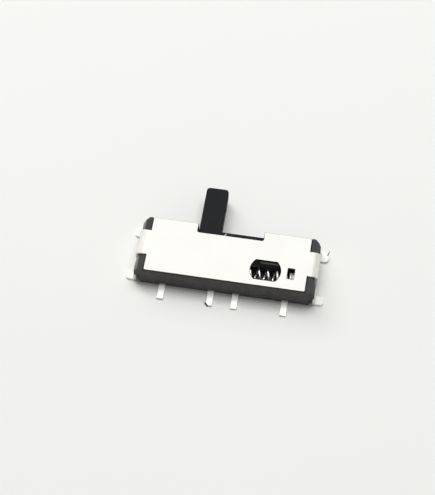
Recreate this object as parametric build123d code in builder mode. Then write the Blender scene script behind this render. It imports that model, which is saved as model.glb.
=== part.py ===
from build123d import *
import os
from math import cos, pi, radians, sin

# A surface-mount slide switch with a side handle that springs back, lying on its solder side.
# X runs along the switch, Y runs from the terminals to the handle, Z is up.
# The origin is on the solder plane, under the middle of the cover plate. All sizes are in mm.

# Running gaps
slide_clearance = 0.05
stop_clearance = 0.02
cover_clearance = 0.05
contact_clearance = 0.015
stake_clearance = 0.01

# Return spring, wound with closed turns at both ends
spring_diameter = 0.95
wire = 0.14
left_turns = 1.0
open_turns = 7.75
right_turns = 3.0
closed_pitch = 0.16
start_angle = 273.6
spring_headroom = 0.15

# Housing base
floor_thickness = 0.35
front_wall = 0.55
back_wall = 0.3
end_wall = 0.69
back_lip = 0.05
lower_corner_out = 0.17
lower_corner_along = 0.6
rib_thickness = 0.2
seat_block = 0.25
seat_boss_length = 0.3
core_hole_diameter = 0.5

# Corner posts, which stand beside the folded ends of the cover and overhang its wide feet
post_overhang = 0.13
post_underside = 0.75
post_rise = 0.05
bevel_out = 0.15
bevel_down = 0.25
lower_bevel = 0.1
back_chamfer_out = 0.4
back_chamfer_along = 0.36
front_chamfer_out = 0.25
front_chamfer_along = 0.4

# Cover, folded from one plated sheet
sheet = 0.15
plate_inset = 0.47
plate_corner = 0.1
fold_radius = 0.3
foot_fold_radius = 0.22
flange_width = 1.68
flange_offset = 0.08
skirt_inset = 0.05
skirt_rise = 0.32
foot_length = 0.5
foot_width = 0.6
foot_corner = 0.2
notch_depth = 0.62
notch_radius = 0.12
window_diameter = 1.86
window_depth = 1.34
window_to_seat = 1.98
end_hole_length = 0.42
end_hole_depth = 0.72
end_hole_to_seat = 0.44

# Slider, which ends its stroke against the end walls of the cavity
travel = 2.6
stroke_middle = -0.06
handle_width = 1.38
handle_thickness = 0.8
handle_lift = 0.15
handle_reach = 2.91
handle_tip_radius = 0.22
handle_edge_radius = 0.08
guide_depth = 0.53
carrier_wall = 0.12
carrier_end_wall = 0.2
spigot_diameter = 0.44
spigot_length = 0.45
coring_wall = 0.32
coring_height = 0.6

# Wiper, a thin bronze strip staked under the slider
wiper_sheet = 0.08
wiper_depth = 0.8
wiper_flat = 0.9
wiper_rise = 0.335
wiper_lip = 0.2
wiper_lip_rise = 0.1
wiper_bend_radius = 0.12
wiper_room = 0.05
finger_gap = 0.16
inner_contact = 0.2
stake_diameter = 0.2
stake_head = 0.32
stake_head_height = 0.06
stake_spacing = 0.44

# Terminals, moulded into the floor
terminal_sheet = 0.15
terminal_width = 0.4
inner_pitch = 1.5
outer_pitch = 3.0
terminal_reach = 1.0
lead_height = 0.05
lead_slope = 0.24
lead_bend_radius = 0.08
pad_depth = 0.94
pad_gap = 0.16
pad_split = 0.2
pad_margin = 0.2
pad_end_margin = 0.35

# Heights
spring_z = floor_thickness + slide_clearance + spring_diameter / 2
base_height = floor_thickness + slide_clearance + spring_diameter + spring_headroom
slider_bottom = floor_thickness + slide_clearance
slider_top = base_height - slide_clearance
handle_bottom = floor_thickness + handle_lift
contact_height = floor_thickness + contact_clearance
wiper_height = contact_height + wiper_rise
recess_top = wiper_height + wiper_sheet
pad_bottom = floor_thickness - terminal_sheet
post_top = base_height + post_rise
skirt_top = post_underside - cover_clearance

# Places front to back, where the walls, the spring and the slider add up to the depth
channel_depth = spring_diameter + 2 * slide_clearance
recess_depth = wiper_depth + 2 * wiper_room
slider_back_depth = carrier_wall + recess_depth + guide_depth
base_depth = front_wall + channel_depth + rib_thickness + slider_back_depth + 2 * slide_clearance + back_wall
cover_depth = base_depth - back_lip
front_face = -cover_depth / 2
back_face = front_face + base_depth
base_middle = (front_face + back_face) / 2
channel_front = front_face + front_wall
channel_back = channel_front + channel_depth
spring_y = channel_front + channel_depth / 2
rib_back = channel_back + rib_thickness
carrier_front = rib_back + slide_clearance
wiper_y = carrier_front + carrier_wall + recess_depth / 2
guide_front = carrier_front + carrier_wall + recess_depth
guide_back = guide_front + guide_depth
cavity_back = back_face - back_wall
handle_tip = cover_depth / 2 + handle_reach

# Places along X, with the slider at rest and its handle held to the left
rest_x = stroke_middle - travel / 2
notch_length = travel + handle_width + 2 * slide_clearance
notch_left = stroke_middle - notch_length / 2
notch_right = stroke_middle + notch_length / 2
slider_length = notch_length + travel
slider_left = rest_x - slider_length / 2
slider_right = rest_x + slider_length / 2
pusher_right = rest_x + handle_width / 2
rib_left = pusher_right + travel + slide_clearance
wiper_x = -travel / 2
wiper_reach = travel / 2 - inner_contact
wiper_tip = wiper_reach + wiper_lip
recess_reach = wiper_tip + slide_clearance + wiper_room
carrier_right = wiper_x + recess_reach + carrier_end_wall
cavity_half = slider_length / 2 + travel / 2 + stop_clearance
cavity_left = stroke_middle - cavity_half
cavity_right = stroke_middle + cavity_half
spring_seat = cavity_right - seat_block
base_length = 2 * (cavity_half + end_wall)
post_end = base_length / 2 + post_overhang

# Cover places
cover_length = base_length - 2 * plate_inset
wall_inside = base_length / 2 + cover_clearance
foot_end = wall_inside + sheet + foot_length
fold_inside = fold_radius - sheet
flange_front = flange_offset - flange_width / 2
flange_back = flange_offset + flange_width / 2
skirt_depth = cover_depth - 2 * skirt_inset

# Terminal places
inner_terminal = inner_pitch / 2
outer_terminal = inner_terminal + outer_pitch
inner_pad = (pad_gap / 2, travel / 2 + wiper_reach - pad_margin - pad_split)
outer_pad = (inner_pad[1] + pad_split, outer_terminal + terminal_width / 2 + pad_end_margin)


def rectangle_between(left, right, front, back):
    """Draw a rectangle between two places along X and two along Y in the open sketch."""
    with Locations(((left + right) / 2, (front + back) / 2)):
        Rectangle(right - left, back - front)


def on_side(side, near, far):
    """The span from near to far along X on the +X side, or its mirror image for a side of -1."""
    return (near, far) if side > 0 else (-far, -near)


def make_terminal(side, lead_x, pad):
    """A contact pad flush with the floor, a buried lead and a flat solder foot, from one strip."""
    pad_front = wiper_y - pad_depth / 2
    pad_back = wiper_y + pad_depth / 2
    joggle_start = front_face - lead_bend_radius
    with BuildPart() as terminal:
        with BuildSketch(Plane.YZ.offset(side * lead_x)):
            with BuildLine():
                FilletPolyline(
                    (pad_back, pad_bottom),
                    (pad_front, pad_bottom),
                    (pad_front - lead_slope, lead_height),
                    (joggle_start, lead_height),
                    (joggle_start - lead_slope, 0),
                    (front_face - terminal_reach, 0),
                    radius=lead_bend_radius,
                )
                offset(amount=terminal_sheet, side=Side.RIGHT)
            make_face()
        extrude(amount=terminal_width / 2, both=True)
        with BuildSketch(Plane.XY.offset(pad_bottom)):
            rectangle_between(*on_side(side, *pad), pad_front, pad_back)
        extrude(amount=terminal_sheet)
    return terminal.part


# Four terminals, counted along X: 1 and 2 are joined at rest, 3 and 4 at the end of the stroke
terminals = [
    make_terminal(-1, outer_terminal, outer_pad),
    make_terminal(-1, inner_terminal, inner_pad),
    make_terminal(1, inner_terminal, inner_pad),
    make_terminal(1, outer_terminal, outer_pad),
]

# Housing base: the block, its posts, the cavity, the spring channel and the slot for the handle
with BuildPart() as base:
    with BuildSketch():
        with BuildLine():
            Polyline(
                (0, front_face),
                (base_length / 2 - lower_corner_out, front_face),
                (base_length / 2, front_face + lower_corner_along),
                (base_length / 2, back_face - lower_corner_along),
                (base_length / 2 - lower_corner_out, back_face),
                (0, back_face),
            )
            mirror(about=Plane.YZ)
        make_face()
    extrude(amount=base_height)
    # The top edges at both ends give room to the inside of the cover's fold
    top_ends = base.faces().sort_by(Axis.Z)[-1].edges().filter_by(Axis.Y)
    chamfer(top_ends, length=fold_inside)

    # A post at each corner, cut off at the outer back corner and beside the flange
    front_post_back = flange_front - cover_clearance
    back_post_front = flange_back + cover_clearance
    for side in (-1, 1):
        post_inner = side * (cover_length / 2 + cover_clearance)
        post_outer = side * post_end
        with BuildSketch(Plane.XY.offset(post_underside)):
            with BuildLine():
                Polyline(
                    (post_inner, front_face),
                    (post_outer, front_face),
                    (post_outer, front_post_back - front_chamfer_along),
                    (post_outer - side * front_chamfer_out, front_post_back),
                    (post_inner, front_post_back),
                    close=True,
                )
            make_face()
            with BuildLine():
                Polyline(
                    (post_inner, back_face),
                    (post_outer - side * back_chamfer_out, back_face),
                    (post_outer, back_face - back_chamfer_along),
                    (post_outer, back_post_front),
                    (post_inner, back_post_front),
                    close=True,
                )
            make_face()
        extrude(amount=post_top - post_underside)
        # The outer edges of the posts lean in at the top and at the underside
        with BuildSketch(Plane.XZ.offset(-base_middle)):
            for level, toward, leg_out, leg_along in (
                (post_top, -1, bevel_out, bevel_down),
                (post_underside, 1, lower_bevel, lower_bevel),
            ):
                with BuildLine():
                    Polyline(
                        (post_outer, level),
                        (post_outer - side * leg_out, level),
                        (post_outer, level + toward * leg_along),
                        close=True,
                    )
                make_face()
        extrude(amount=base_depth, both=True, mode=Mode.SUBTRACT)

    # Cavity, open at the top
    with BuildSketch(Plane.XY.offset(floor_thickness)):
        rectangle_between(cavity_left, cavity_right, channel_front, cavity_back)
    extrude(amount=base_height, mode=Mode.SUBTRACT)
    # The rib behind the spring, and the block and boss that the spring seats on
    with BuildSketch(Plane.XY.offset(floor_thickness)):
        rectangle_between(rib_left, cavity_right, channel_back, rib_back)
        rectangle_between(spring_seat, cavity_right, channel_front, channel_back)
    extrude(amount=base_height - floor_thickness)
    with BuildSketch(Plane.YZ.offset(spring_seat)):
        with Locations((spring_y, spring_z)):
            Circle(spigot_diameter / 2)
    extrude(amount=-seat_boss_length)

    # Slot in the back wall for the handle, open at the top
    with BuildSketch(Plane.XY.offset(handle_bottom - slide_clearance)):
        rectangle_between(notch_left, notch_right, cavity_back, back_face)
    extrude(amount=base_height, mode=Mode.SUBTRACT)

    # Holes left by the pins that hold the pads while the floor is moulded
    with BuildSketch():
        for lead_x in (inner_terminal, outer_terminal):
            with Locations((-lead_x, wiper_y), (lead_x, wiper_y)):
                Circle(core_hole_diameter / 2)
    extrude(amount=pad_bottom, mode=Mode.SUBTRACT)

    for terminal in terminals:
        add(terminal, mode=Mode.SUBTRACT)

# Cover: a strip folded down at both ends, with its feet turned out, then trimmed to width
with BuildPart() as cover:
    with BuildSketch(Plane.XZ):
        with BuildLine():
            FilletPolyline(
                (-foot_end, 0),
                (-wall_inside, 0),
                (-wall_inside, base_height),
                (wall_inside, base_height),
                (wall_inside, 0),
                (foot_end, 0),
                radius=(foot_fold_radius, fold_inside, fold_inside, foot_fold_radius),
            )
            offset(amount=sheet, side=Side.LEFT)
        make_face()
    extrude(amount=cover_depth / 2, both=True)

    inner_foot = skirt_depth / 2 - foot_width
    for side in (-1, 1):
        # Above the skirt only the flange goes down, between the posts
        end_span = on_side(side, cover_length / 2, foot_end)
        with BuildSketch(Plane.XY.offset(skirt_top)):
            rectangle_between(*end_span, front_face, flange_front)
            rectangle_between(*end_span, flange_back, cover_depth / 2)
        extrude(amount=base_height, mode=Mode.SUBTRACT)
        # The skirt is a little narrower than the plate, and rises between the feet
        with BuildSketch():
            rectangle_between(*end_span, front_face, -skirt_depth / 2)
            rectangle_between(*end_span, skirt_depth / 2, cover_depth / 2)
        extrude(amount=skirt_top, mode=Mode.SUBTRACT)
        with BuildSketch():
            rectangle_between(*end_span, -inner_foot, inner_foot)
        extrude(amount=skirt_rise, mode=Mode.SUBTRACT)
    upright = cover.edges().filter_by(Axis.Z)
    foot_edges = upright.filter_by_position(Axis.Z, 0, sheet)
    fillet(foot_edges.sort_by(lambda edge: abs(edge.center().X))[-8:], radius=foot_corner)
    upright = cover.edges().filter_by(Axis.Z)
    plate_edges = upright.filter_by_position(Axis.Z, base_height, base_height + sheet)
    fillet(plate_edges.sort_by(lambda edge: abs(edge.center().Y))[-4:], radius=plate_corner)

    # Notch for the handle, window over the spring and a hole over the spring's seat
    with BuildSketch(Plane.XY.offset(base_height)):
        with Locations((stroke_middle, cover_depth / 2)):
            notch = Rectangle(notch_length, 2 * notch_depth)
        fillet(notch.vertices().group_by(Axis.Y)[0], radius=notch_radius)
        with Locations((spring_seat - end_hole_to_seat, spring_y)):
            Rectangle(end_hole_length, end_hole_depth)
    extrude(amount=sheet, mode=Mode.SUBTRACT)
    with BuildSketch(Plane.XY.offset(base_height)):
        with Locations((spring_seat - window_to_seat, spring_y)):
            Circle(window_diameter / 2)
            Rectangle(window_diameter, window_depth, mode=Mode.INTERSECT)
    extrude(amount=sheet, mode=Mode.SUBTRACT)

# Handle, rounded at its tip and along its rims
with BuildPart() as handle:
    with BuildSketch(Plane.XY.offset(handle_bottom)):
        rectangle_between(rest_x - handle_width / 2, rest_x + handle_width / 2, guide_front, handle_tip)
    extrude(amount=handle_thickness)
    fillet(handle.edges().filter_by(Axis.Z).group_by(Axis.Y)[-1], radius=handle_tip_radius)
    rims = handle.faces().filter_by(Axis.Z).edges()
    root_edges = handle.faces().sort_by(Axis.Y)[0].edges()
    fillet(rims - root_edges, radius=handle_edge_radius)

# Slider: guide bar, carrier over the pads, pusher with its spigot, and the handle
with BuildPart() as slider:
    with BuildSketch(Plane.XY.offset(slider_bottom)):
        rectangle_between(slider_left, slider_right, guide_front, guide_back)
        rectangle_between(slider_left, carrier_right, carrier_front, guide_front)
        rectangle_between(slider_left, pusher_right, channel_front + slide_clearance, carrier_front)
    extrude(amount=slider_top - slider_bottom)
    add(handle.part)

    # Room for the wiper, and a pocket that keeps the walls of the pusher even
    with BuildSketch(Plane.XY.offset(slider_bottom)):
        with Locations((wiper_x, wiper_y)):
            Rectangle(2 * recess_reach, recess_depth)
    extrude(amount=recess_top - slider_bottom, mode=Mode.SUBTRACT)
    with BuildSketch(Plane.XY.offset(slider_bottom)):
        pocket_front = channel_front + slide_clearance + coring_wall
        rectangle_between(slider_left + coring_wall, pusher_right - coring_wall, pocket_front, carrier_front)
    extrude(amount=coring_height, mode=Mode.SUBTRACT)

    with BuildSketch(Plane.YZ.offset(pusher_right)):
        with Locations((spring_y, spring_z)):
            Circle(spigot_diameter / 2)
    extrude(amount=spigot_length)

    # Stakes hold the wiper, with their ends spread into heads below it
    stake_places = GridLocations(0, stake_spacing, 1, 2).local_locations
    with BuildSketch(Plane.XY.offset(recess_top)):
        with Locations((wiper_x, wiper_y)):
            with Locations(stake_places):
                Circle(stake_diameter / 2)
    extrude(amount=-(wiper_sheet + stake_clearance + stake_head_height))
    with BuildSketch(Plane.XY.offset(wiper_height - stake_clearance)):
        with Locations((wiper_x, wiper_y)):
            with Locations(stake_places):
                Circle(stake_head / 2)
    extrude(amount=-stake_head_height)

# Wiper: a flat middle with two fingers to each side, each rounded where it meets its pad
with BuildPart() as wiper:
    with BuildSketch(Plane.XZ.offset(-wiper_y)):
        with BuildLine():
            FilletPolyline(
                (wiper_x - wiper_tip, contact_height + wiper_lip_rise),
                (wiper_x - wiper_reach, contact_height),
                (wiper_x - wiper_flat / 2, wiper_height),
                (wiper_x + wiper_flat / 2, wiper_height),
                (wiper_x + wiper_reach, contact_height),
                (wiper_x + wiper_tip, contact_height + wiper_lip_rise),
                radius=wiper_bend_radius,
            )
            offset(amount=wiper_sheet, side=Side.LEFT)
        make_face()
    extrude(amount=wiper_depth / 2, both=True)
    with BuildSketch(Plane.XY.offset(floor_thickness)):
        with Locations((wiper_x, wiper_y)):
            slot_start = wiper_flat / 2 + finger_gap
            slot_length = wiper_tip - slot_start + finger_gap
            with Locations((slot_start + slot_length / 2, 0), (-slot_start - slot_length / 2, 0)):
                Rectangle(slot_length, finger_gap)
            with Locations(stake_places):
                Circle(stake_diameter / 2 + stake_clearance)
    extrude(amount=base_height, mode=Mode.SUBTRACT)


def spring_centreline(points_per_turn=6):
    """Points along the wire: closed turns at both ends and evenly open turns between them."""
    coil_radius = (spring_diameter - wire) / 2
    closed_length = (left_turns + right_turns) * closed_pitch
    open_pitch = (spring_seat - pusher_right - wire - closed_length) / open_turns
    all_turns = left_turns + open_turns + right_turns
    steps = round(all_turns * points_per_turn)
    points = []
    for step in range(steps + 1):
        turn = step * all_turns / steps
        turns_opened = min(max(turn - left_turns, 0), open_turns)
        turns_closed = turn - turns_opened
        angle = 2 * pi * turn + radians(start_angle)
        points.append(
            (
                pusher_right + wire / 2 + turns_closed * closed_pitch + turns_opened * open_pitch,
                spring_y + coil_radius * cos(angle),
                spring_z + coil_radius * sin(angle),
            )
        )
    return points


# Return spring, pressed between the pusher and the seat
with BuildPart() as spring:
    with BuildLine() as coil:
        Spline(*spring_centreline())
    with BuildSketch(Plane(origin=coil.line @ 0, z_dir=coil.line % 0)):
        Circle(wire / 2)
    sweep(is_frenet=True)

base.part.label = "housing_base"
cover.part.label = "shield_cover"
slider.part.label = "slider"
wiper.part.label = "wiper_contact"
spring.part.label = "return_spring"

os.makedirs("parts", exist_ok=True)
export_step(base.part, "parts/housing_base.step")
export_step(cover.part, "parts/shield_cover.step")
export_step(slider.part, "parts/slider.step")
export_step(wiper.part, "parts/wiper_contact.step")
export_step(spring.part, "parts/return_spring.step")
for number, terminal in enumerate(terminals, start=1):
    terminal.label = f"terminal_{number}"
    export_step(terminal, f"parts/{terminal.label}.step")
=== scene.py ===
# %% [markdown]
# # Dressing a tiny slide switch
#
# The switch is only twelve millimetres long, and it lies on a pale table. Its solids come from the
# CAD model, which is loaded first and is never moved or changed. This lesson gives those solids
# the soft edges, metals and plastics of the real thing, piece by piece. Each piece ends in the
# same place as the solid it stands for, so that the moving parts keep their fit.

# %% Load the frame
from math import cos, pi, radians, sin, tau

import bpy
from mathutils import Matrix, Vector


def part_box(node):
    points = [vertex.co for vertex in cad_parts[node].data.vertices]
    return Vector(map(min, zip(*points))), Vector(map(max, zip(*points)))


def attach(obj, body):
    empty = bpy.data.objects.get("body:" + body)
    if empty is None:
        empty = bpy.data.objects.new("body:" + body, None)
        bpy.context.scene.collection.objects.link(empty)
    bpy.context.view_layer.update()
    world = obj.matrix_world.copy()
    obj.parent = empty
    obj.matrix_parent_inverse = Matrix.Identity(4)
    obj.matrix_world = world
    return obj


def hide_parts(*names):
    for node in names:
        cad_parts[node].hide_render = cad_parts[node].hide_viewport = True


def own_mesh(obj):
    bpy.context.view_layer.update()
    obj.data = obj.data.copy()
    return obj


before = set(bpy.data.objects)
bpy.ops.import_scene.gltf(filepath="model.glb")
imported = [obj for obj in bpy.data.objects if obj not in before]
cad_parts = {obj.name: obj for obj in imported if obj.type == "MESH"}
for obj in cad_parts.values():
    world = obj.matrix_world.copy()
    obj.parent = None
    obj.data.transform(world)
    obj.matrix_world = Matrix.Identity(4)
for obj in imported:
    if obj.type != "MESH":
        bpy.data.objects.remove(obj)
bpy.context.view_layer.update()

mm = 0.001
for name in sorted(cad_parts):
    low, high = [[round(c / mm, 2) for c in corner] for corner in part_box(name)]
    print(name, "from", low, "to", high, "mm")

# %% [markdown]
# ## A few helpers
#
# Blender's operators act on whatever is selected, and the solids arrive selected. So every step
# begins by choosing one object and nothing else. At this scale one step of a modelling tool is a
# few hundredths of a millimetre, and so all lengths are written in millimetres and turned into
# metres by the value mm. A finish is laid on some of the faces of a piece in edit mode, as by hand,
# with the faces found by their place or by the way they face.

# %% Helpers for selecting and finishing
def pick(piece):
    """Make one object the only selected and active one."""
    bpy.ops.object.select_all(action="DESELECT")
    piece.hide_set(False)
    piece.select_set(True)
    bpy.context.view_layer.objects.active = piece


def choose_faces(piece, wanted):
    """In edit mode, select the faces of the piece for which wanted(face) is true."""
    bpy.ops.mesh.select_mode(type="FACE")
    bpy.ops.mesh.select_all(action="DESELECT")
    bpy.ops.object.mode_set(mode="OBJECT")
    found = 0
    for face in piece.data.polygons:
        face.select = wanted(face)
        found += face.select
    bpy.ops.object.mode_set(mode="EDIT")
    return found


def paint_faces(piece, finish, wanted):
    """Lay one more finish on the faces of the piece for which wanted(face) is true."""
    piece.data.materials.append(finish)
    pick(piece)
    bpy.ops.object.mode_set(mode="EDIT")
    found = choose_faces(piece, wanted)
    piece.active_material_index = len(piece.data.materials) - 1
    bpy.ops.object.material_slot_assign()
    bpy.ops.object.mode_set(mode="OBJECT")
    print(piece.name, "has", found, "faces of", finish.name)


def finish_piece(piece, body, slot_name, *nodes):
    """Put the origin at the frame's origin, and hand the piece to the frame."""
    pick(piece)
    bpy.ops.object.transform_apply(location=True, rotation=True, scale=True)
    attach(piece, body)
    if nodes:
        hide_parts(*nodes)
    triangles = sum(len(face.vertices) - 2 for face in piece.data.polygons)
    print(piece.name, "has", triangles, "triangles")


# %% [markdown]
# ## Soft edges on a copy of a solid
#
# A solid from CAD has edges with no width, and those never catch the light. A moulded or stamped
# part has a tiny radius everywhere. The copy's loose triangles are merged first, its flat areas are
# joined into single faces, and a bevel then rounds only the edges that turn sharply. Weighted
# normals keep the flat areas flat in the light, so that only the rounded edges shade off.

# %% A copy of a solid with rounded edges
sharp_turn = radians(25)
flat_turn = radians(1)
triangle_weld = 1e-7
strongest_levelling = 100


def level_flats(piece):
    """Shade the rounded edges smooth, and keep the flat areas flat in the light."""
    pick(piece)
    bpy.ops.object.shade_smooth_by_angle(angle=sharp_turn)
    levelling = piece.modifiers.new("level the flats", "WEIGHTED_NORMAL")
    levelling.weight = strongest_levelling
    levelling.keep_sharp = True
    bpy.ops.object.modifier_apply(modifier=levelling.name)


def soft_copy(node, name, edge_radius, steps=2):
    """Copy one CAD node, merge it and round its sharp edges by edge_radius millimetres."""
    piece = bpy.data.objects.new(name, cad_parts[node].data.copy())
    bpy.context.scene.collection.objects.link(piece)
    piece.data.materials.clear()
    pick(piece)
    bpy.ops.object.mode_set(mode="EDIT")
    bpy.ops.mesh.select_all(action="SELECT")
    bpy.ops.mesh.remove_doubles(threshold=triangle_weld)
    bpy.ops.mesh.dissolve_limited(angle_limit=flat_turn)
    bpy.ops.object.mode_set(mode="OBJECT")
    if edge_radius:
        rounding = piece.modifiers.new("soft edges", "BEVEL")
        rounding.width = edge_radius * mm
        rounding.segments = steps
        rounding.limit_method = "ANGLE"
        rounding.angle_limit = sharp_turn
        rounding.use_clamp_overlap = True
        rounding.loop_slide = False
        bpy.ops.object.modifier_apply(modifier=rounding.name)
    level_flats(piece)
    return piece


# %% [markdown]
# ## The table, the camera and the light
#
# The switch was seen from above and a little from its right, with a long lens, on a pale table.
# The table is one large plane, plain and nearly white. It lies a hair under the feet, because two
# faces at one height would flicker where they meet.

# %% Table
table_size = 2.0
table_height = -0.004 * mm
bpy.ops.object.select_all(action="DESELECT")
bpy.ops.mesh.primitive_plane_add(size=table_size, location=(0, 0, table_height))
table_top = bpy.context.active_object
table_top.name = "table_top"
print(table_top.name, "is", table_size, "m wide")

# %% [markdown]
# The camera looks down at sixty degrees and is turned nine degrees to the right. A long lens from
# eight centimetres away keeps the far and the near edge of the switch nearly parallel. The camera
# could be placed by eye. Its place is worked out from the two angles instead, so that each can be
# changed by itself.

# %% Camera
camera_data = bpy.data.cameras.new("camera")
camera = bpy.data.objects.new("camera", camera_data)
bpy.context.scene.collection.objects.link(camera)
bpy.context.scene.camera = camera
elevation = radians(60)
turn = radians(9.034)
distance = 80 * mm
looking_at = (-0.791 * mm, 0.851 * mm, 0.75 * mm)
camera.location = (
    looking_at[0] + distance * cos(elevation) * sin(turn),
    looking_at[1] - distance * cos(elevation) * cos(turn),
    looking_at[2] + distance * sin(elevation),
)
camera.rotation_euler = (pi / 2 - elevation, 0, turn)
camera_data.sensor_width = 36
camera_data.lens = 94.9
camera_data.clip_start = 1 * mm
camera_data.clip_end = 10
print("camera at", [round(c / mm, 1) for c in camera.location], "mm")

# %% [markdown]
# The shadow tells where the light was. It lies dark and close in front of the switch, and there is
# hardly any at its left. So the main light is a broad soft one overhead, a little behind the
# switch. A second soft lamp stands lower at the back left. A third and very weak one stands low at
# the right, where it lights the folded end of the cover. A dim white surround fills in.

# %% Lamps
def add_lamp(name, width, depth, power, azimuth, height_angle, distance=300):
    """A soft lamp that faces the origin, placed by azimuth from +X and angle above the table."""
    lamp_data = bpy.data.lights.new(name, "AREA")
    lamp_data.shape = "RECTANGLE"
    lamp_data.size = width * mm
    lamp_data.size_y = depth * mm
    lamp_data.energy = power
    lamp = bpy.data.objects.new(name, lamp_data)
    bpy.context.scene.collection.objects.link(lamp)
    around, above = radians(azimuth), radians(height_angle)
    lamp.location = (
        distance * mm * cos(above) * cos(around),
        distance * mm * cos(above) * sin(around),
        distance * mm * sin(above),
    )
    lamp.rotation_euler = lamp.location.to_track_quat("Z", "Y").to_euler()
    print(name, "at", [round(c / mm) for c in lamp.location], "mm")


add_lamp("ceiling_light", 260, 140, 0.628, azimuth=90, height_angle=74)
add_lamp("window_light", 150, 150, 0.238, azimuth=135, height_angle=40)
add_lamp("right_light", 150, 100, 0.032, azimuth=0, height_angle=28)

# %% [markdown]
# The surround is two plain backgrounds. Light that is gathered by dull surfaces comes from the dim
# one. The paler one is what the camera sees, and also what shiny and clear surfaces show. A Light
# Path node tells which kind of ray asks, and a Maximum lets any of the three kinds choose the
# paler one.

# %% Surround
world = bpy.data.worlds.new("surround")
bpy.context.scene.world = world
world.use_nodes = True
surround = world.node_tree
surround.nodes.clear()
lit = surround.nodes.new("ShaderNodeBackground")
lit.inputs["Color"].default_value = (0.98, 0.99, 1.0, 1)
lit.inputs["Strength"].default_value = 0.212
seen = surround.nodes.new("ShaderNodeBackground")
seen.inputs["Color"].default_value = (0.60, 0.60, 0.59, 1)
seen.inputs["Strength"].default_value = 1.0
path = surround.nodes.new("ShaderNodeLightPath")
either = surround.nodes.new("ShaderNodeMixShader")
sky = surround.nodes.new("ShaderNodeOutputWorld")
shows_backdrop = path.outputs["Is Camera Ray"]
for ray in ("Is Glossy Ray", "Is Transmission Ray"):
    either_ray = surround.nodes.new("ShaderNodeMath")
    either_ray.operation = "MAXIMUM"
    surround.links.new(shows_backdrop, either_ray.inputs[0])
    surround.links.new(path.outputs[ray], either_ray.inputs[1])
    shows_backdrop = either_ray.outputs["Value"]
surround.links.new(shows_backdrop, either.inputs["Fac"])
surround.links.new(lit.outputs["Background"], either.inputs[1])
surround.links.new(seen.outputs["Background"], either.inputs[2])
surround.links.new(either.outputs["Shader"], sky.inputs["Surface"])
bpy.context.scene.view_settings.view_transform = "Standard"
print(world.name, "lights with a strength of", lit.inputs["Strength"].default_value)

# %% [markdown]
# ## Shared surface effects
#
# Three effects come back in several finishes, so each is a node group. The first is a fine grain
# that changes the roughness and the surface a little. The second is slow, uneven mottling, as left
# by handling and by the moulding or plating bath. The third is painted shade and painted highlight
# in a band at the two ends. All read the object's own coordinates, and a Mapping node turns metres
# into millimetres, so that every scale below is in marks per millimetre.

# %% Node group: fine grain
def new_group(name, inputs, outputs):
    """An empty node group with named float or vector sockets."""
    group = bpy.data.node_groups.new(name, "ShaderNodeTree")
    for socket_name, kind, value in inputs:
        socket = group.interface.new_socket(socket_name, in_out="INPUT", socket_type=kind)
        if value is not None:
            socket.default_value = value
    for socket_name, kind in outputs:
        group.interface.new_socket(socket_name, in_out="OUTPUT", socket_type=kind)
    return group, group.nodes.new("NodeGroupInput"), group.nodes.new("NodeGroupOutput")


def millimetre_coordinates(tree):
    """Object coordinates in millimetres."""
    place = tree.nodes.new("ShaderNodeTexCoord")
    scaled = tree.nodes.new("ShaderNodeMapping")
    scaled.inputs["Scale"].default_value = (1 / mm, 1 / mm, 1 / mm)
    tree.links.new(place.outputs["Object"], scaled.inputs["Vector"])
    return scaled.outputs["Vector"]


fine_grain, given, made = new_group(
    "fine_grain",
    [
        ("Marks per mm", "NodeSocketFloat", 12.0),
        ("Stretch", "NodeSocketVector", (1.0, 1.0, 1.0)),
        ("Roughness", "NodeSocketFloat", 0.5),
        ("Spread", "NodeSocketFloat", 0.1),
        ("Depth", "NodeSocketFloat", 0.3),
    ],
    [("Roughness", "NodeSocketFloat"), ("Normal", "NodeSocketVector")],
)
stretched = fine_grain.nodes.new("ShaderNodeVectorMath")
stretched.operation = "MULTIPLY"
fine_grain.links.new(millimetre_coordinates(fine_grain), stretched.inputs[0])
fine_grain.links.new(given.outputs["Stretch"], stretched.inputs[1])
grain = fine_grain.nodes.new("ShaderNodeTexNoise")
grain.inputs["Detail"].default_value = 3.0
fine_grain.links.new(stretched.outputs["Vector"], grain.inputs["Vector"])
fine_grain.links.new(given.outputs["Marks per mm"], grain.inputs["Scale"])
centred = fine_grain.nodes.new("ShaderNodeMath")
centred.operation = "SUBTRACT"
centred.inputs[1].default_value = 0.5
fine_grain.links.new(grain.outputs["Fac"], centred.inputs[0])
rougher = fine_grain.nodes.new("ShaderNodeMath")
rougher.operation = "MULTIPLY_ADD"
fine_grain.links.new(centred.outputs["Value"], rougher.inputs[0])
fine_grain.links.new(given.outputs["Spread"], rougher.inputs[1])
fine_grain.links.new(given.outputs["Roughness"], rougher.inputs[2])
bumps = fine_grain.nodes.new("ShaderNodeBump")
bumps.inputs["Distance"].default_value = 0.01 * mm
fine_grain.links.new(given.outputs["Depth"], bumps.inputs["Strength"])
fine_grain.links.new(grain.outputs["Fac"], bumps.inputs["Height"])
fine_grain.links.new(rougher.outputs["Value"], made.inputs["Roughness"])
fine_grain.links.new(bumps.outputs["Normal"], made.inputs["Normal"])
print("node group", fine_grain.name, "has", len(fine_grain.nodes), "nodes")

# %% [markdown]
# The mottling is one slow noise that blends a light and a dark shade of the same colour. Plain
# colour would look like paint, and an image would first need each mesh to be unwrapped.

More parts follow.
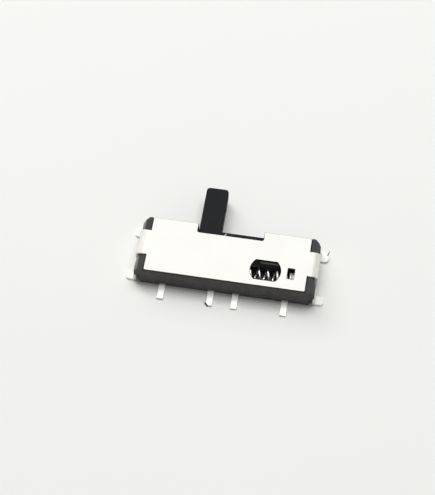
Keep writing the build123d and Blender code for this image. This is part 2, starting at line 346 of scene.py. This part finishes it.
# %% Node group: slow mottling
mottling, given, made = new_group(
    "mottling",
    [
        ("Patches per mm", "NodeSocketFloat", 0.8),
        ("Light colour", "NodeSocketColor", (0.8, 0.8, 0.8, 1)),
        ("Dark colour", "NodeSocketColor", (0.7, 0.7, 0.7, 1)),
    ],
    [("Color", "NodeSocketColor")],
)
patches = mottling.nodes.new("ShaderNodeTexNoise")
patches.inputs["Detail"].default_value = 4.0
mottling.links.new(millimetre_coordinates(mottling), patches.inputs["Vector"])
mottling.links.new(given.outputs["Patches per mm"], patches.inputs["Scale"])
softened = mottling.nodes.new("ShaderNodeMapRange")
softened.inputs["From Min"].default_value = 0.3
softened.inputs["From Max"].default_value = 0.7
mottling.links.new(patches.outputs["Fac"], softened.inputs["Value"])
blended = mottling.nodes.new("ShaderNodeMix")
blended.data_type = "RGBA"
mottling.links.new(softened.outputs["Result"], blended.inputs["Factor"])
mottling.links.new(given.outputs["Dark colour"], blended.inputs["A"])
mottling.links.new(given.outputs["Light colour"], blended.inputs["B"])
mottling.links.new(blended.outputs["Result"], made.inputs["Color"])
print("node group", mottling.name, "has", len(mottling.nodes), "nodes")

# %% [markdown]
# The ends of the switch get painted light. The sheet's folds get a darker beige as painted shade,
# and the outer corners of the posts at the left get a lighter grey as a painted highlight. Both are
# one effect, a mask that is high along a band at each end, with long streaks that break it up. The
# band is found from the distance to the middle of the switch, and the two ends have a strength of
# their own.

# %% Node group: painted shade and painted highlight at the ends
painted_end_shading, given, made = new_group(
    "painted_end_shading",
    [
        ("Band start mm", "NodeSocketFloat", 5.2),
        ("Band end mm", "NodeSocketFloat", 5.4),
        ("Above mm", "NodeSocketFloat", -1.0),
        ("Left strength", "NodeSocketFloat", 1.0),
        ("Right strength", "NodeSocketFloat", 1.0),
    ],
    [("Factor", "NodeSocketFloat")],
)
where = millimetre_coordinates(painted_end_shading)
parts_of_place = painted_end_shading.nodes.new("ShaderNodeSeparateXYZ")
painted_end_shading.links.new(where, parts_of_place.inputs["Vector"])
from_middle = painted_end_shading.nodes.new("ShaderNodeMath")
from_middle.operation = "ABSOLUTE"
painted_end_shading.links.new(parts_of_place.outputs["X"], from_middle.inputs[0])


def soft_step(group, value, edge, half_width, rising):
    """A smooth step of the value around the edge, from 0 to 1 or from 1 to 0."""
    low = group.nodes.new("ShaderNodeMath")
    low.operation = "SUBTRACT"
    low.inputs[1].default_value = half_width
    group.links.new(edge, low.inputs[0])
    high = group.nodes.new("ShaderNodeMath")
    high.operation = "ADD"
    high.inputs[1].default_value = half_width
    group.links.new(edge, high.inputs[0])
    step = group.nodes.new("ShaderNodeMapRange")
    step.interpolation_type = "SMOOTHSTEP"
    group.links.new(value, step.inputs["Value"])
    group.links.new(low.outputs["Value"], step.inputs["From Min"])
    group.links.new(high.outputs["Value"], step.inputs["From Max"])
    step.inputs["To Min"].default_value = 0.0 if rising else 1.0
    step.inputs["To Max"].default_value = 1.0 if rising else 0.0
    return step.outputs["Result"]


def multiply(group, first, second):
    """The product of two values."""
    product = group.nodes.new("ShaderNodeMath")
    product.operation = "MULTIPLY"
    group.links.new(first, product.inputs[0])
    group.links.new(second, product.inputs[1])
    return product.outputs["Value"]


rise = soft_step(
    painted_end_shading, from_middle.outputs["Value"], given.outputs["Band start mm"],
    half_width=0.04, rising=True,
)
fall = soft_step(
    painted_end_shading, from_middle.outputs["Value"], given.outputs["Band end mm"],
    half_width=0.03, rising=False,
)
long_marks = painted_end_shading.nodes.new("ShaderNodeMapping")
long_marks.inputs["Scale"].default_value = (14, 1.5, 14)
painted_end_shading.links.new(where, long_marks.inputs["Vector"])
streaks = painted_end_shading.nodes.new("ShaderNodeTexNoise")
streaks.inputs["Scale"].default_value = 1.0
streaks.inputs["Detail"].default_value = 2.0
painted_end_shading.links.new(long_marks.outputs["Vector"], streaks.inputs["Vector"])
uneven = painted_end_shading.nodes.new("ShaderNodeMapRange")
uneven.inputs["From Min"].default_value = 0.3
uneven.inputs["From Max"].default_value = 0.6
uneven.inputs["To Min"].default_value = 0.45
painted_end_shading.links.new(streaks.outputs["Fac"], uneven.inputs["Value"])
side = painted_end_shading.nodes.new("ShaderNodeMapRange")
side.inputs["From Min"].default_value = -1.0
side.inputs["From Max"].default_value = 1.0
painted_end_shading.links.new(parts_of_place.outputs["X"], side.inputs["Value"])
painted_end_shading.links.new(given.outputs["Left strength"], side.inputs["To Min"])
painted_end_shading.links.new(given.outputs["Right strength"], side.inputs["To Max"])
high_up = soft_step(
    painted_end_shading, parts_of_place.outputs["Z"], given.outputs["Above mm"],
    half_width=0.05, rising=True,
)
band = multiply(painted_end_shading, rise, fall)
streaked = multiply(painted_end_shading, band, uneven.outputs["Result"])
sided = multiply(painted_end_shading, streaked, side.outputs["Result"])
painted_end_shading.links.new(multiply(painted_end_shading, sided, high_up), made.inputs["Factor"])
print("node group", painted_end_shading.name, "has", len(painted_end_shading.nodes), "nodes")

# %% [markdown]
# ## The finishes
#
# Every finish is a Principled shader with a mottled colour and a grain. The plain numbers, such as
# how metallic it is, are set on the shader itself. One helper places both groups, and each finish
# then has its own few values.

# %% A finish from the two groups
def make_finish(
    name, light, dark, patches_per_mm, roughness, spread, marks, stretch, depth,
    metallic=0.0, gloss=0.5,
):
    """A material with mottled colour and fine grain."""
    material = bpy.data.materials.new(name)
    material.use_nodes = True
    tree = material.node_tree
    shader = tree.nodes["Principled BSDF"]
    shader.inputs["Metallic"].default_value = metallic
    shader.inputs["Specular IOR Level"].default_value = gloss
    colour = tree.nodes.new("ShaderNodeGroup")
    colour.node_tree = mottling
    colour.inputs["Patches per mm"].default_value = patches_per_mm
    colour.inputs["Light colour"].default_value = (*light, 1)
    colour.inputs["Dark colour"].default_value = (*dark, 1)
    tree.links.new(colour.outputs["Color"], shader.inputs["Base Color"])
    surface = tree.nodes.new("ShaderNodeGroup")
    surface.node_tree = fine_grain
    surface.inputs["Marks per mm"].default_value = marks
    surface.inputs["Stretch"].default_value = stretch
    surface.inputs["Roughness"].default_value = roughness
    surface.inputs["Spread"].default_value = spread
    surface.inputs["Depth"].default_value = depth
    tree.links.new(surface.outputs["Roughness"], shader.inputs["Roughness"])
    tree.links.new(surface.outputs["Normal"], shader.inputs["Normal"])
    return material


# %% [markdown]
# The base is a dull moulded black that looks dark grey under soft light. Its front gets a second,
# lighter copy of that finish, painted light that brightens the faces looking to the front. The
# slider is a darker and smoother black.

# %% Finish: moulded black of the base, and a lighter copy as painted light for its front
housing_black = make_finish(
    "housing_black", (0.073, 0.072, 0.071), (0.058, 0.057, 0.056), 1.2,
    roughness=0.50, spread=0.16, marks=18, stretch=(1, 1, 1), depth=0.5, gloss=0.05,
)
# A lighter copy of the base's black, painted light for the faces that look to the front.
housing_front_painted_light = make_finish(
    "housing_front_painted_light", (0.112, 0.108, 0.102), (0.078, 0.076, 0.073), 2.5,
    roughness=0.55, spread=0.20, marks=18, stretch=(1, 1, 1), depth=0.5, gloss=0.05,
)

# %% Finish: smoother black of the slider
slider_black = make_finish(
    "slider_black", (0.0120, 0.0125, 0.0150), (0.0090, 0.0094, 0.0115), 1.0,
    roughness=0.62, spread=0.12, marks=14, stretch=(1, 1, 1), depth=0.25, gloss=0.11,
)

# %% [markdown]
# The sheet is plated to a satin white. In the photo its top mirrors a wide pale light and shows no
# sharp reflection, so the roughness is high and the colour is left mostly non-metallic.

# %% Finish: plated sheet
plated_sheet = make_finish(
    "satin_plating", (0.846, 0.842, 0.803), (0.824, 0.819, 0.775), 0.5,
    roughness=0.69, spread=0.08, marks=9, stretch=(0.25, 1, 1), depth=0.10, metallic=0.3,
)

# %% [markdown]
# The painted colour is laid over a finish by its mask, so that the colour below shows through its
# streaks. On the sheet the band lies along the folds as painted shade. On the black base it lies on
# the tops of the posts as a painted highlight, strongest at the left.

# %% Painted shade on the sheet's folds and painted highlight on the posts
def paint_end_shading(material, painted_colour, band, above, left, right):
    """Lay the painted shade or highlight over the material's own colour, by the mask of the end
    bands.
    """
    tree = material.node_tree
    shader = tree.nodes["Principled BSDF"]
    clean_colour = shader.inputs["Base Color"].links[0].from_socket
    mask = tree.nodes.new("ShaderNodeGroup")
    mask.node_tree = painted_end_shading
    mask.inputs["Band start mm"].default_value = band[0]
    mask.inputs["Band end mm"].default_value = band[1]
    mask.inputs["Above mm"].default_value = above
    mask.inputs["Left strength"].default_value = left
    mask.inputs["Right strength"].default_value = right
    over = tree.nodes.new("ShaderNodeMix")
    over.data_type = "RGBA"
    over.inputs["B"].default_value = (*painted_colour, 1)
    tree.links.new(mask.outputs["Factor"], over.inputs["Factor"])
    tree.links.new(clean_colour, over.inputs["A"])
    tree.links.new(over.outputs["Result"], shader.inputs["Base Color"])
    print(material.name, "is worn from", band[0], "to", band[1], "mm")


# The folds of the sheet get a darker beige band, painted shade.
paint_end_shading(plated_sheet, (0.64, 0.615, 0.53), band=(5.16, 5.38), above=-1.0, left=0.45, right=1.0)
# The tops of the posts get a lighter grey, a painted highlight, strongest at the left.
paint_end_shading(housing_black, (0.28, 0.28, 0.27), band=(5.30, 5.60), above=1.32, left=1.0, right=0.12)

# %% [markdown]
# The punch leaves the cut edge of the sheet without plating, and there the darker brown-grey core
# shows. Its colour is darkened further as painted shade, since these narrow faces turn away from
# the light. It is a thin line round the plate, the notch and the two holes.

# %% Finish: cut edge of the sheet
# Bare brown-grey core of the sheet, darkened further as painted shade.
cut_edge_painted_shade = make_finish(
    "cut_edge_painted_shade", (0.048, 0.040, 0.024), (0.024, 0.019, 0.011), 3.0,
    roughness=0.60, spread=0.20, marks=16, stretch=(1, 1, 0.2), depth=0.4, gloss=0.20,
)

# %% [markdown]
# The terminals are silvered, and the cover's feet are tinned for the solder. The spring is bright
# drawn wire. Its closed turns at the right get a yellower and duller copy of the wire's finish of
# their own, a painted highlight and warm painted reflection where they lie under the small hole.
# The contact strip is bronze. The table is plain and nearly white.

# %% Finishes: silvered terminals, tinned feet, spring wire, bronze and table
silvered = make_finish(
    "silvered", (0.865, 0.86, 0.835), (0.81, 0.805, 0.78), 2.0,
    roughness=0.45, spread=0.06, marks=12, stretch=(1, 0.3, 1), depth=0.15, metallic=0.34,
)
foot_tin = make_finish(
    "foot_tin", (0.840, 0.835, 0.798), (0.800, 0.795, 0.758), 3.0,
    roughness=0.65, spread=0.10, marks=12, stretch=(1, 1, 1), depth=0.15, metallic=0.34,
)
spring_steel = make_finish(
    "spring_steel", (0.95, 0.94, 0.91), (0.86, 0.85, 0.82), 2.5,
    roughness=0.25, spread=0.10, marks=20, stretch=(1, 1, 1), depth=0.12, metallic=1.0,
)
# A yellower, duller copy of the wire, a painted highlight and warm painted reflection for the
# closed turns.
spring_end_painted_light = make_finish(
    "spring_end_painted_light", (0.90, 0.88, 0.76), (0.74, 0.72, 0.60), 4.0,
    roughness=0.42, spread=0.10, marks=20, stretch=(1, 1, 1), depth=0.12, metallic=0.6,
)
contact_bronze = make_finish(
    "bright_bronze", (0.74, 0.55, 0.32), (0.66, 0.46, 0.24), 2.0,
    roughness=0.30, spread=0.12, marks=14, stretch=(0.3, 1, 1), depth=0.15, metallic=1.0,
)
table_finish = make_finish(
    "table_finish", (0.920, 0.923, 0.896), (0.905, 0.908, 0.881), 0.02,
    roughness=0.85, spread=0.05, marks=0.5, stretch=(1, 1, 1), depth=0.0,
)
table_top.data.materials.append(table_finish)

# %% [markdown]
# ## The moulded base
#
# The base is one black moulding with a post at each corner. Its real edges are rounded by the mould
# to a few hundredths of a millimetre, which a bevel on the merged copy gives. The lighter copy of
# its finish, painted light, lies on the faces that look to the front.

# %% Base
base_front = -1.5 * mm


def is_front_face(face):
    """True for the faces at the front of the base that look to the front."""
    return face.normal.y < -0.9 and face.center.y < base_front


base_body = soft_copy("housing_base", "base_body", edge_radius=0.03)
base_body.data.materials.append(housing_black)
# The faces that look to the front get the lighter copy, painted light.
paint_faces(base_body, housing_front_painted_light, is_front_face)
finish_piece(base_body, "housing", "housing_plastic", "housing_base")

# %% [markdown]
# ## The folded cover
#
# The cover is stamped and folded from one sheet. The outer faces are plated. The faces that the
# punch cut, which are the narrow ones across the thickness of the sheet, get the cut-edge finish,
# and the feet get the tin.

# %% Cover
sheet = 0.15 * mm
margin = 0.01 * mm
plate_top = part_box("shield_cover")[1].z
plate_underside = plate_top - sheet
fold_start = 4.95 * mm
tin_start = 5.6 * mm
tin_top = 0.25 * mm


def is_cut_face(face):
    """True for the narrow faces that run round the top plate and its openings."""
    upright = abs(face.normal.z) < 0.95
    within_sheet = plate_underside - margin < face.center.z < plate_top
    on_the_fold = abs(face.center.x) > fold_start
    return upright and within_sheet and not on_the_fold


def is_foot_face(face):
    """True for the faces of the four feet."""
    return abs(face.center.x) > tin_start and face.center.z < tin_top


cover_shell = soft_copy("shield_cover", "cover_shell", edge_radius=0.02)
cover_shell.data.materials.append(plated_sheet)
# The narrow cut faces get the dark cut-edge finish, which is partly painted shade.
paint_faces(cover_shell, cut_edge_painted_shade, is_cut_face)
paint_faces(cover_shell, foot_tin, is_foot_face)

# %% [markdown]
# This switch has been handled, and the marks belong to its look. The foot at the back right is bent
# up a little, with a splinter at its corner, dark in the cut-edge finish, which is partly painted
# shade. A bright splinter of sheet stands out over the notch. A splinter is a small tapered cone,
# joined to the piece that it was torn from.

# %% A splinter
def add_splinter(piece, start, end, width, finish):
    """Join a tapered splinter to the piece, from start to end in millimetres."""
    near, far = Vector(start) * mm, Vector(end) * mm
    along = far - near
    bpy.ops.object.select_all(action="DESELECT")
    bpy.ops.mesh.primitive_cone_add(
        vertices=8, radius1=width / 2 * mm, radius2=width / 5 * mm, depth=along.length,
        location=(near + far) / 2, rotation=along.to_track_quat("Z", "Y").to_euler(),
    )
    splinter = bpy.context.active_object
    splinter.data.materials.append(finish)
    bpy.ops.object.transform_apply(location=True, rotation=True, scale=True)
    piece.select_set(True)
    bpy.context.view_layer.objects.active = piece
    bpy.ops.object.join()
    level_flats(piece)
    print(piece.name, "has a splinter", round(along.length / mm, 2), "mm long")


# %% [markdown]
# The foot is bent as it would be in pliers. Its corners are picked by their place, and they turn
# about a line across the middle of the sheet, where the foot begins. Everything is deselected
# first, because the faces picked last would bend too.

# %% The bent foot and the cover's splinters
foot_start = 5.62 * mm
foot_bend = radians(9)
pick(cover_shell)
bpy.ops.object.mode_set(mode="EDIT")
bpy.ops.mesh.select_mode(type="VERT")
bpy.ops.mesh.select_all(action="DESELECT")
bpy.ops.object.mode_set(mode="OBJECT")
for corner in cover_shell.data.vertices:
    beyond = corner.co.x > foot_start + margin
    corner.select = beyond and corner.co.y > 0 and corner.co.z < 0.2 * mm
bpy.ops.object.mode_set(mode="EDIT")
bpy.ops.transform.rotate(
    value=foot_bend, orient_axis="Y", orient_type="GLOBAL",
    center_override=(foot_start, 0, sheet / 2),
)
bpy.ops.mesh.select_all(action="DESELECT")
bpy.ops.mesh.select_mode(type="FACE")
bpy.ops.object.mode_set(mode="OBJECT")
# A splinter at the bent foot's corner, a burr darkened with the cut-edge finish as painted shade.
add_splinter(
    cover_shell, start=(5.955, 1.66, 0.20), end=(6.045, 1.87, 0.40), width=0.07, finish=cut_edge_painted_shade
)
add_splinter(
    cover_shell, start=(-0.45, 1.20, 1.59), end=(-0.31, 1.41, 1.60), width=0.09, finish=plated_sheet
)
finish_piece(cover_shell, "housing", "plated_sheet", "shield_cover")

# %% [markdown]
# ## The slider
#
# The slider is the second moulding, and only its handle and a strip in the notch are seen from
# outside. It is smoother than the base, as a part that a finger works is.

# %% Slider
sliding_handle = soft_copy("slider", "sliding_handle", edge_radius=0.02)
sliding_handle.data.materials.append(slider_black)
finish_piece(sliding_handle, "slide", "slider_plastic", "slider")

# %% [markdown]
# ## The wiper and the terminals
#
# Under the slider a bronze strip joins two of the terminals. It is hidden, so it keeps its plain
# edges. The terminals are stamped, too, and their small soft edges make them shine on the table.

# %% Wiper
wiper_strip = soft_copy("wiper_contact", "wiper_strip", edge_radius=0.0)
wiper_strip.data.materials.append(contact_bronze)
finish_piece(wiper_strip, "slide", "contact_bronze", "wiper_contact")

# %% Terminals
pins = {}
for number in (1, 2, 3, 4):
    pins[number] = soft_copy(f"terminal_{number}", f"pin_{number}", edge_radius=0.02)
    pins[number].data.materials.append(silvered)

# %% [markdown]
# The second terminal has lost a corner of its foot. A small cube, turned so that one side lies
# along the break, is taken away from it with a Boolean modifier. A splinter of burr is left along
# the break, and its dark cut-edge finish paints the shadow of the broken corner.

# %% The broken corner
nick_width = 0.4 * mm
nick_middle = (-1.035 * mm, -2.895 * mm, 0)
nick_turn = radians(45)
bpy.ops.object.select_all(action="DESELECT")
bpy.ops.mesh.primitive_cube_add(
    size=nick_width, location=nick_middle, rotation=(0, 0, nick_turn)
)
cutter = bpy.context.active_object
bpy.ops.object.transform_apply(location=True, rotation=True, scale=True)
pick(pins[2])
breaking = pins[2].modifiers.new("broken corner", "BOOLEAN")
breaking.operation = "DIFFERENCE"
breaking.solver = "EXACT"
breaking.object = cutter
bpy.ops.object.modifier_apply(modifier=breaking.name)
bpy.data.objects.remove(cutter)
# A burr along the break, whose dark finish is painted shadow.
add_splinter(
    pins[2], start=(-0.995, -2.68, 0.08), end=(-0.805, -2.90, 0.08), width=0.10, finish=cut_edge_painted_shade
)
for number, pin in pins.items():
    finish_piece(pin, "housing", "silvered_terminal", f"terminal_{number}")

# %% [markdown]
# ## The return spring
#
# The spring is wound from one round wire, with closed turns at both ends. In Blender a Screw
# modifier winds a small circle round an axis. Closed and open turns differ only in how far each
# turn moves along, so the spring is wound in three runs that meet end to end and are then merged.

# %% Wind one run of the spring
spring_low, spring_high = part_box("return_spring")
coil_axis_y = (spring_low.y + spring_high.y) / 2
coil_axis_z = (spring_low.z + spring_high.z) / 2
wire = 0.14
wire_sides = 16
coil_diameter = 0.95
coil_radius = (coil_diameter - wire) / 2
start_angle = radians(273.6)
steps_per_turn = 36


def wind_run(name, start_x, start_turn, turns, pitch):
    """Wind a run of turns from start_x, in millimetres along X, and return it as a mesh."""
    angle = tau * start_turn + start_angle
    section_place = (
        start_x * mm,
        coil_axis_y + coil_radius * mm * cos(angle),
        coil_axis_z + coil_radius * mm * sin(angle),
    )
    bpy.ops.object.select_all(action="DESELECT")
    bpy.ops.mesh.primitive_circle_add(
        vertices=wire_sides, radius=wire / 2 * mm, location=section_place, rotation=(angle, 0, 0)
    )
    run = bpy.context.active_object
    run.name = name
    bpy.context.scene.cursor.location = (start_x * mm, coil_axis_y, coil_axis_z)
    bpy.ops.object.origin_set(type="ORIGIN_CURSOR")
    bpy.ops.object.transform_apply(location=False, rotation=True, scale=True)
    winding = run.modifiers.new("winding", "SCREW")
    winding.axis = "X"
    winding.angle = tau * turns
    winding.screw_offset = pitch * turns * mm
    winding.steps = round(steps_per_turn * turns)
    winding.render_steps = winding.steps
    bpy.ops.object.modifier_apply(modifier=winding.name)
    return run


# %% [markdown]
# One closed turn at the left sits on the slider, and three at the right sit on the base. What is
# left of the length is shared out evenly between the open turns.

# %% Join the three runs
start_x = spring_low.x / mm + wire / 2
end_x = spring_high.x / mm - wire / 2
left_turns = 1.0
open_turns = 7.75
right_turns = 3.0
closed_pitch = 0.16
open_pitch = (end_x - start_x - (left_turns + right_turns) * closed_pitch) / open_turns
open_start = start_x + left_turns * closed_pitch
open_end = open_start + open_turns * open_pitch
runs = [
    wind_run("coil_left", start_x, 0, left_turns, closed_pitch),
    wind_run("coil_open", open_start, left_turns, open_turns, open_pitch),
    wind_run("coil_right", open_end, left_turns + open_turns, right_turns, closed_pitch),
]
pick(runs[0])
for run in runs:
    run.select_set(True)
bpy.ops.object.join()
coil_spring = bpy.context.active_object
coil_spring.name = "coil_spring"
print("open turns are", round(open_pitch, 3), "mm apart")

# %% [markdown]
# The runs meet end to end, so their end points are merged. The two ends of the wire are still open
# tubes, and a face closes each. A Screw modifier can leave faces turned inward, so the normals are
# worked out again once the wire is closed.

# %% Close the wire's two ends and turn its faces outward
run_weld = 0.002 * mm
pick(coil_spring)
bpy.ops.object.mode_set(mode="EDIT")
bpy.ops.mesh.select_all(action="SELECT")
bpy.ops.mesh.remove_doubles(threshold=run_weld)
bpy.ops.mesh.select_mode(type="EDGE")
bpy.ops.mesh.select_all(action="DESELECT")
bpy.ops.mesh.select_non_manifold()
bpy.ops.mesh.edge_face_add()
bpy.ops.mesh.select_all(action="SELECT")
bpy.ops.mesh.normals_make_consistent(inside=False)
bpy.ops.object.mode_set(mode="OBJECT")
bpy.ops.object.shade_smooth_by_angle(angle=radians(50))

# %% [markdown]
# The closed turns at the right get their yellower finish, which is painted highlight and painted
# reflection. When the slider moves, the spring is pressed together. Its right end stays where it
# is, and at full travel it keeps a little under half of its length.

# %% Finish the spring and give it a mesh of its own
closed_start = (open_end - wire) * mm


def is_closed_turn(face):
    """True for the faces on the closed turns at the right."""
    return face.center.x > closed_start


coil_spring.data.materials.append(spring_steel)
# The closed turns get the copy with painted highlight and painted reflection.
paint_faces(coil_spring, spring_end_painted_light, is_closed_turn)
finish_piece(coil_spring, "housing", "spring_wire", "return_spring")
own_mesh(coil_spring)
